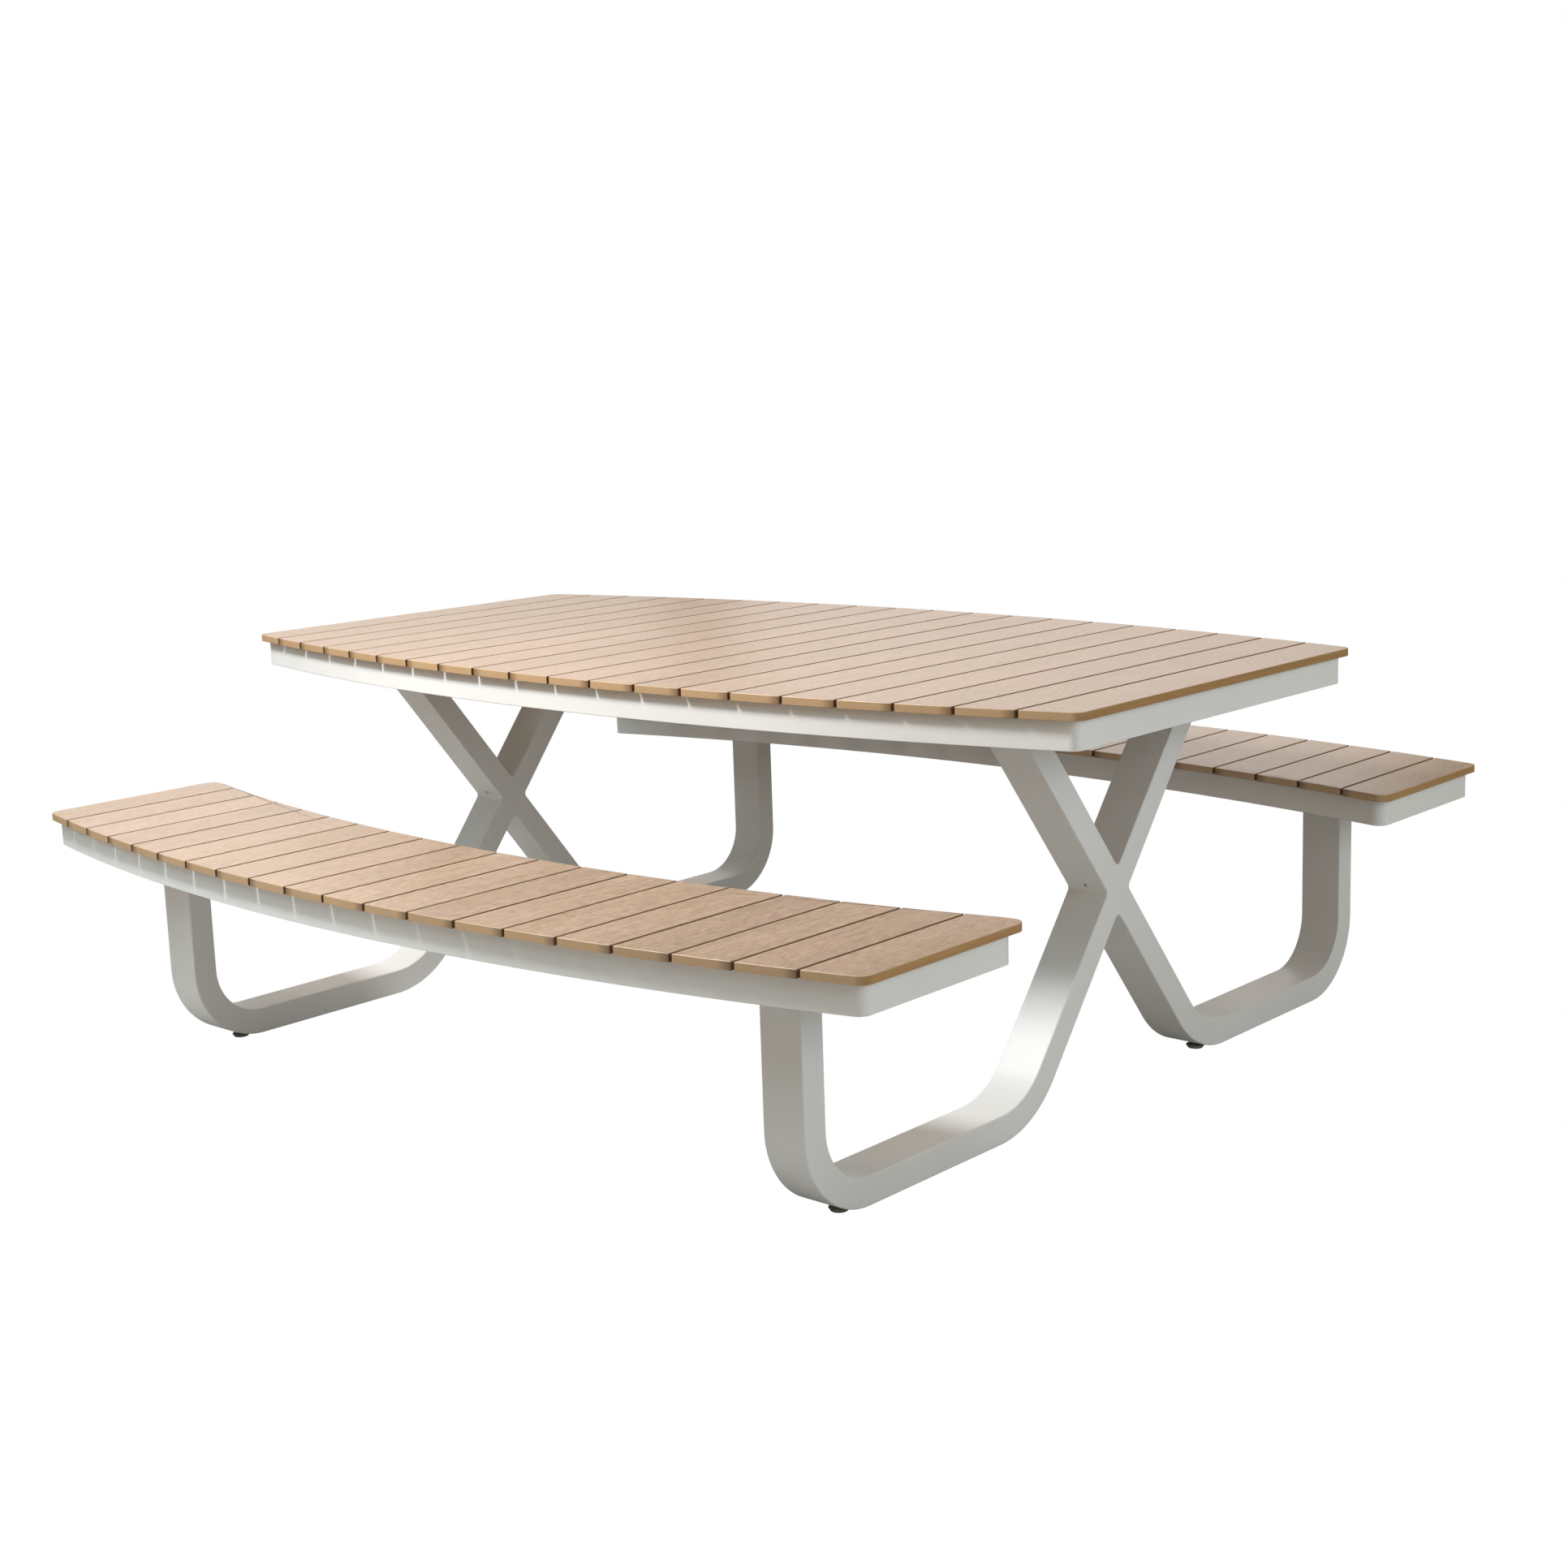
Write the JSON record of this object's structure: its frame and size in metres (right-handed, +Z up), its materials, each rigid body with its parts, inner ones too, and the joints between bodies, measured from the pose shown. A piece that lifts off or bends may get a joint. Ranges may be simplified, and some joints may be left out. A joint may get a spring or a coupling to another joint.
{
  "type": "picnic table",
  "caption": "Picnic table with two fixed benches: bowed slatted top and seats on X-shaped legs bent from flat tube, standing on screw-adjusted levelling feet.",
  "frame": {"origin": "on the floor, under the middle of the table top", "axes": "+X along the table towards its right end, +Y across it towards the back bench, +Z up"},
  "size_m": [2.095, 2.158, 0.765],
  "materials": {
    "slat_board": "teak-coloured composite board, brushed along its length, matt",
    "apron_coat": "off-white powder coat, fine texture, satin",
    "frame_coat": "off-white powder coat, fine texture, satin",
    "foot_plastic": "moulded grey plastic"
  },
  "bodies": {
    "table": {"table_slat_01": "slat_board", "table_slat_02": "slat_board", "table_slat_03": "slat_board", "table_slat_04": "slat_board", "table_slat_05": "slat_board", "table_slat_06": "slat_board", "table_slat_07": "slat_board", "table_slat_08": "slat_board", "table_slat_09": "slat_board", "table_slat_10": "slat_board", "table_slat_11": "slat_board", "table_slat_12": "slat_board", "table_slat_13": "slat_board", "table_slat_14": "slat_board", "table_slat_15": "slat_board", "table_slat_16": "slat_board", "table_slat_17": "slat_board", "table_slat_18": "slat_board", "table_slat_19": "slat_board", "table_slat_20": "slat_board", "table_apron_front": "apron_coat", "table_apron_back": "apron_coat", "table_apron_left_end": "apron_coat", "table_apron_right_end": "apron_coat", "table_rail_front": "apron_coat", "table_rail_back": "apron_coat", "table_crossbar_left": "apron_coat", "table_crossbar_right": "apron_coat", "front_bench_deck": "slat_board", "front_bench_apron_outer": "apron_coat", "front_bench_apron_inner": "apron_coat", "front_bench_apron_left_end": "apron_coat", "front_bench_apron_right_end": "apron_coat", "front_bench_crossbar_left": "apron_coat", "front_bench_crossbar_right": "apron_coat", "back_bench_deck": "slat_board", "back_bench_apron_outer": "apron_coat", "back_bench_apron_inner": "apron_coat", "back_bench_apron_left_end": "apron_coat", "back_bench_apron_right_end": "apron_coat", "back_bench_crossbar_left": "apron_coat", "back_bench_crossbar_right": "apron_coat", "left_frame_main_tube": "frame_coat", "left_frame_upper_strut": "frame_coat", "left_frame_back_loop": "frame_coat", "right_frame_main_tube": "frame_coat", "right_frame_upper_strut": "frame_coat", "right_frame_back_loop": "frame_coat"},
    "left_front_inner_foot": {"left_front_inner_foot": "foot_plastic"},
    "left_front_outer_foot": {"left_front_outer_foot": "foot_plastic"},
    "left_back_inner_foot": {"left_back_inner_foot": "foot_plastic"},
    "left_back_outer_foot": {"left_back_outer_foot": "foot_plastic"},
    "right_front_inner_foot": {"right_front_inner_foot": "foot_plastic"},
    "right_front_outer_foot": {"right_front_outer_foot": "foot_plastic"},
    "right_back_inner_foot": {"right_back_inner_foot": "foot_plastic"},
    "right_back_outer_foot": {"right_back_outer_foot": "foot_plastic"}
  },
  "joints": [
    {"name": "left_front_inner_foot_thread", "type": "slide", "parent": "table", "child": "left_front_inner_foot", "axis": [0, 0, -1], "range_m": [0, 0.012]},
    {"name": "left_front_outer_foot_thread", "type": "slide", "parent": "table", "child": "left_front_outer_foot", "axis": [0, 0, -1], "range_m": [0, 0.012]},
    {"name": "left_back_inner_foot_thread", "type": "slide", "parent": "table", "child": "left_back_inner_foot", "axis": [0, 0, -1], "range_m": [0, 0.012]},
    {"name": "left_back_outer_foot_thread", "type": "slide", "parent": "table", "child": "left_back_outer_foot", "axis": [0, 0, -1], "range_m": [0, 0.012]},
    {"name": "right_front_inner_foot_thread", "type": "slide", "parent": "table", "child": "right_front_inner_foot", "axis": [0, 0, -1], "range_m": [0, 0.012]},
    {"name": "right_front_outer_foot_thread", "type": "slide", "parent": "table", "child": "right_front_outer_foot", "axis": [0, 0, -1], "range_m": [0, 0.012]},
    {"name": "right_back_inner_foot_thread", "type": "slide", "parent": "table", "child": "right_back_inner_foot", "axis": [0, 0, -1], "range_m": [0, 0.012]},
    {"name": "right_back_outer_foot_thread", "type": "slide", "parent": "table", "child": "right_back_outer_foot", "axis": [0, 0, -1], "range_m": [0, 0.012]}
  ]
}
